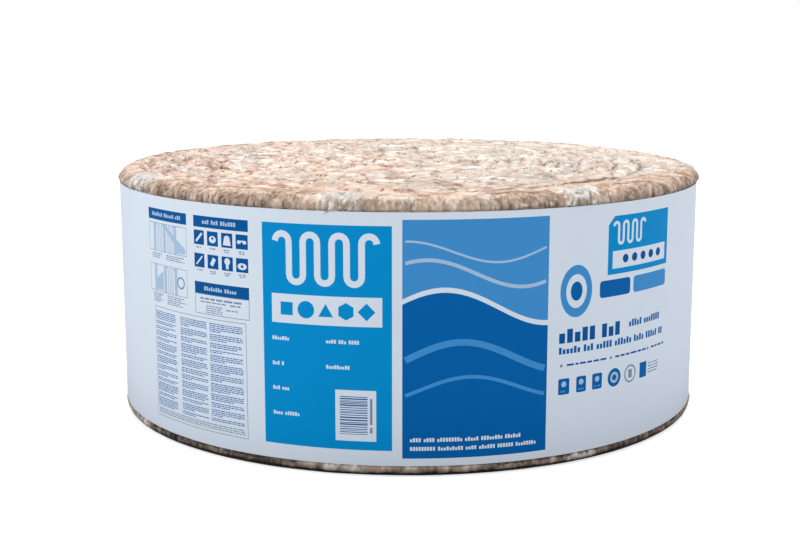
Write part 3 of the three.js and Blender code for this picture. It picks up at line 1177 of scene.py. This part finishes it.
def film_sleeve():
    """The sheet, cut along the edges of all that is printed on it, wrapped round and given its thickness."""
    p = Print(SEED)
    for panel in (instructions, cyan_panel, blue_panel, description):
        panel(p)
    start = (LAP_AZIMUTH - TAU - FRONT_AZIMUTH) * FILM_RADIUS - LAP_WIDTH / 2
    end = (LAP_AZIMUTH - FRONT_AZIMUTH) * FILM_RADIUS + LAP_WIDTH / 2
    sheet = np.array([(start, 0), (end, 0), (end, FILM_HEIGHT), (start, FILM_HEIGHT)])
    outlines = [divided(sheet, AROUND_STEP)]
    outlines += [divided(points * MM + REGISTER, AROUND_STEP) for _, points in p.shapes]
    inks = [WHITE] + [ink for ink, _ in p.shapes]
    u = np.arange(start + AROUND_STEP / 2, end, AROUND_STEP)
    v = np.linspace(0, FILM_HEIGHT, int(FILM_HEIGHT / UP_STEP) + 1)[1:-1]
    inner = np.stack(np.meshgrid(u, v), axis=-1).reshape(-1, 2)
    inner = inner + np.random.default_rng(SEED).uniform(-1, 1, inner.shape) * 0.3 * MM

    points = np.concatenate([*outlines, inner])
    firsts = np.cumsum([0] + [len(o) for o in outlines])
    faces = [list(range(a, b)) for a, b in zip(firsts, firsts[1:])]
    made = delaunay_2d_cdt([Vector(p) for p in points], [], faces, 1, 1e-7)
    flat = np.array([tuple(v) for v in made[0]])
    triangles = np.array([tuple(f) for f in made[2]])
    face_ink = [inks[max(sources)] for sources in made[5]]

    outer = film_surface(flat[:, 0], flat[:, 1])
    inner = film_surface(flat[:, 0], flat[:, 1], FILM_THICKNESS)
    count = len(flat)
    sides = np.concatenate([triangles[:, [0, 1]], triangles[:, [1, 2]], triangles[:, [2, 0]]])
    backward = {(b, a) for a, b in map(tuple, sides)}
    rim = np.array([side for side in map(tuple, sides) if side not in backward])
    walls = np.concatenate([
        np.stack([rim[:, 1], rim[:, 0], rim[:, 0] + count], axis=1),
        np.stack([rim[:, 1], rim[:, 0] + count, rim[:, 1] + count], axis=1),
    ])
    triangles = np.concatenate([triangles, triangles[:, ::-1] + count, walls])

    names = list(INKS)
    materials = [film_material("film_" + name, srgb(*INKS[name])) for name in names]
    face_material = [names.index(ink) for ink in face_ink]
    face_material += [names.index(WHITE)] * (len(triangles) - len(face_ink))
    step = 0.5 * MM
    run = film_surface(flat[:, 0] + step, flat[:, 1]) - film_surface(flat[:, 0] - step, flat[:, 1])
    rise = film_surface(flat[:, 0], flat[:, 1] + step) - film_surface(flat[:, 0], flat[:, 1] - step)
    normals = unit(np.cross(run, rise))
    return make_mesh(
        "film_wrap", np.concatenate([outer, inner]), [triangles], materials, face_material,
        np.concatenate([normals, -normals]),
    )


film = film_sleeve()


# ---- stage, light and camera

SURROUND = (0.92, 1.0)  # brightness of the white surround, as light and as seen
FLOOR_GREY = (0.02, 0.5)  # what the roll gets back from the floor, under itself and clear of it
FLOOR_SHADE = (0.46, 0.62)  # the radii in metres at which that starts and stops changing
CAMERA_DISTANCE = 2.2327
CAMERA_HEIGHT = 0.6071
CAMERA_PITCH = math.radians(10.401)
CAMERA_YAW = math.radians(0.336)
CAMERA_LENS = 61.31
CAMERA_SENSOR = 36


def floor():
    """A white floor for the camera. To the roll it is grey, and painted dark close round the roll as its
    shade.
    """
    bpy.ops.mesh.primitive_plane_add(size=30, location=(0, 0, 0))
    made = bpy.context.object
    made.name = "floor"
    material = bpy.data.materials.new("white_floor")
    material.use_nodes = True
    material.node_tree.nodes.clear()
    s = Nodes(material.node_tree)
    lit = s.node("BsdfDiffuse", (0.6, 0.6, 0.6, 1))
    glow = s.node("Emission", Strength=0.6)
    seen = s.node("AddShader", lit.outputs[0], glow.outputs[0])
    place = s.node("NewGeometry").outputs["Position"]
    distance = s.node("VectorMath", place, settings={"operation": "LENGTH"}).outputs["Value"]
    unseen = s.node("BsdfDiffuse", s.spread(distance, *FLOOR_SHADE, *FLOOR_GREY))
    to_camera = s.node("LightPath").outputs["Is Camera Ray"]
    both = s.node("MixShader", to_camera, unseen.outputs[0], seen.outputs[0])
    s.node("OutputMaterial", both.outputs[0])
    made.data.materials.append(material)


def world():
    made = bpy.data.worlds.new("studio")
    bpy.context.scene.world = made
    made.use_nodes = True
    s = Nodes(made.node_tree)
    background = s.tree.nodes["Background"]
    rays = s.node("LightPath").outputs
    seen = s.math("MAXIMUM", rays["Is Camera Ray"], rays["Is Glossy Ray"])
    s.put(background.inputs["Color"], (1, 1, 1, 1))
    s.put(background.inputs["Strength"], s.spread(seen, 0, 1, *SURROUND))


def lamp(name, place, aim, size, power):
    """A round lamp that points at a height on the roll's axis."""
    data = bpy.data.lights.new(name, "AREA")
    data.energy = power
    data.shape = "DISK"
    data.size = size
    made = bpy.data.objects.new(name, data)
    made.location = place
    made.rotation_euler = (Vector((0, 0, aim)) - Vector(place)).to_track_quat("-Z", "Y").to_euler()
    bpy.context.scene.collection.objects.link(made)


def camera():
    data = bpy.data.cameras.new("camera")
    data.lens = CAMERA_LENS
    data.sensor_width = CAMERA_SENSOR
    made = bpy.data.objects.new("camera", data)
    made.location = (0, -CAMERA_DISTANCE, CAMERA_HEIGHT)
    made.rotation_euler = (math.pi / 2 - CAMERA_PITCH, 0, CAMERA_YAW)
    bpy.context.scene.collection.objects.link(made)
    bpy.context.scene.camera = made


floor()
world()
lamp("key", (-2.6, -2.8, 2.4), 0.2, 2.0, 34)
lamp("left", (-3.4, -0.6, 1.3), 0.2, 1.8, 17)
lamp("right", (3.4, -0.9, 1.3), 0.2, 1.8, 19)
lamp("back", (1.8, 2.4, 2.6), 0.3, 2.4, 32)
camera()
bpy.context.scene.view_settings.view_transform = "Standard"

# ---- hand over

for piece in (blanket_upper, blanket_lower, *wisps, paper):
    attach(piece, "root")
    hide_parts("blanket_coil")
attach(film, "root")
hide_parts("film_sleeve")
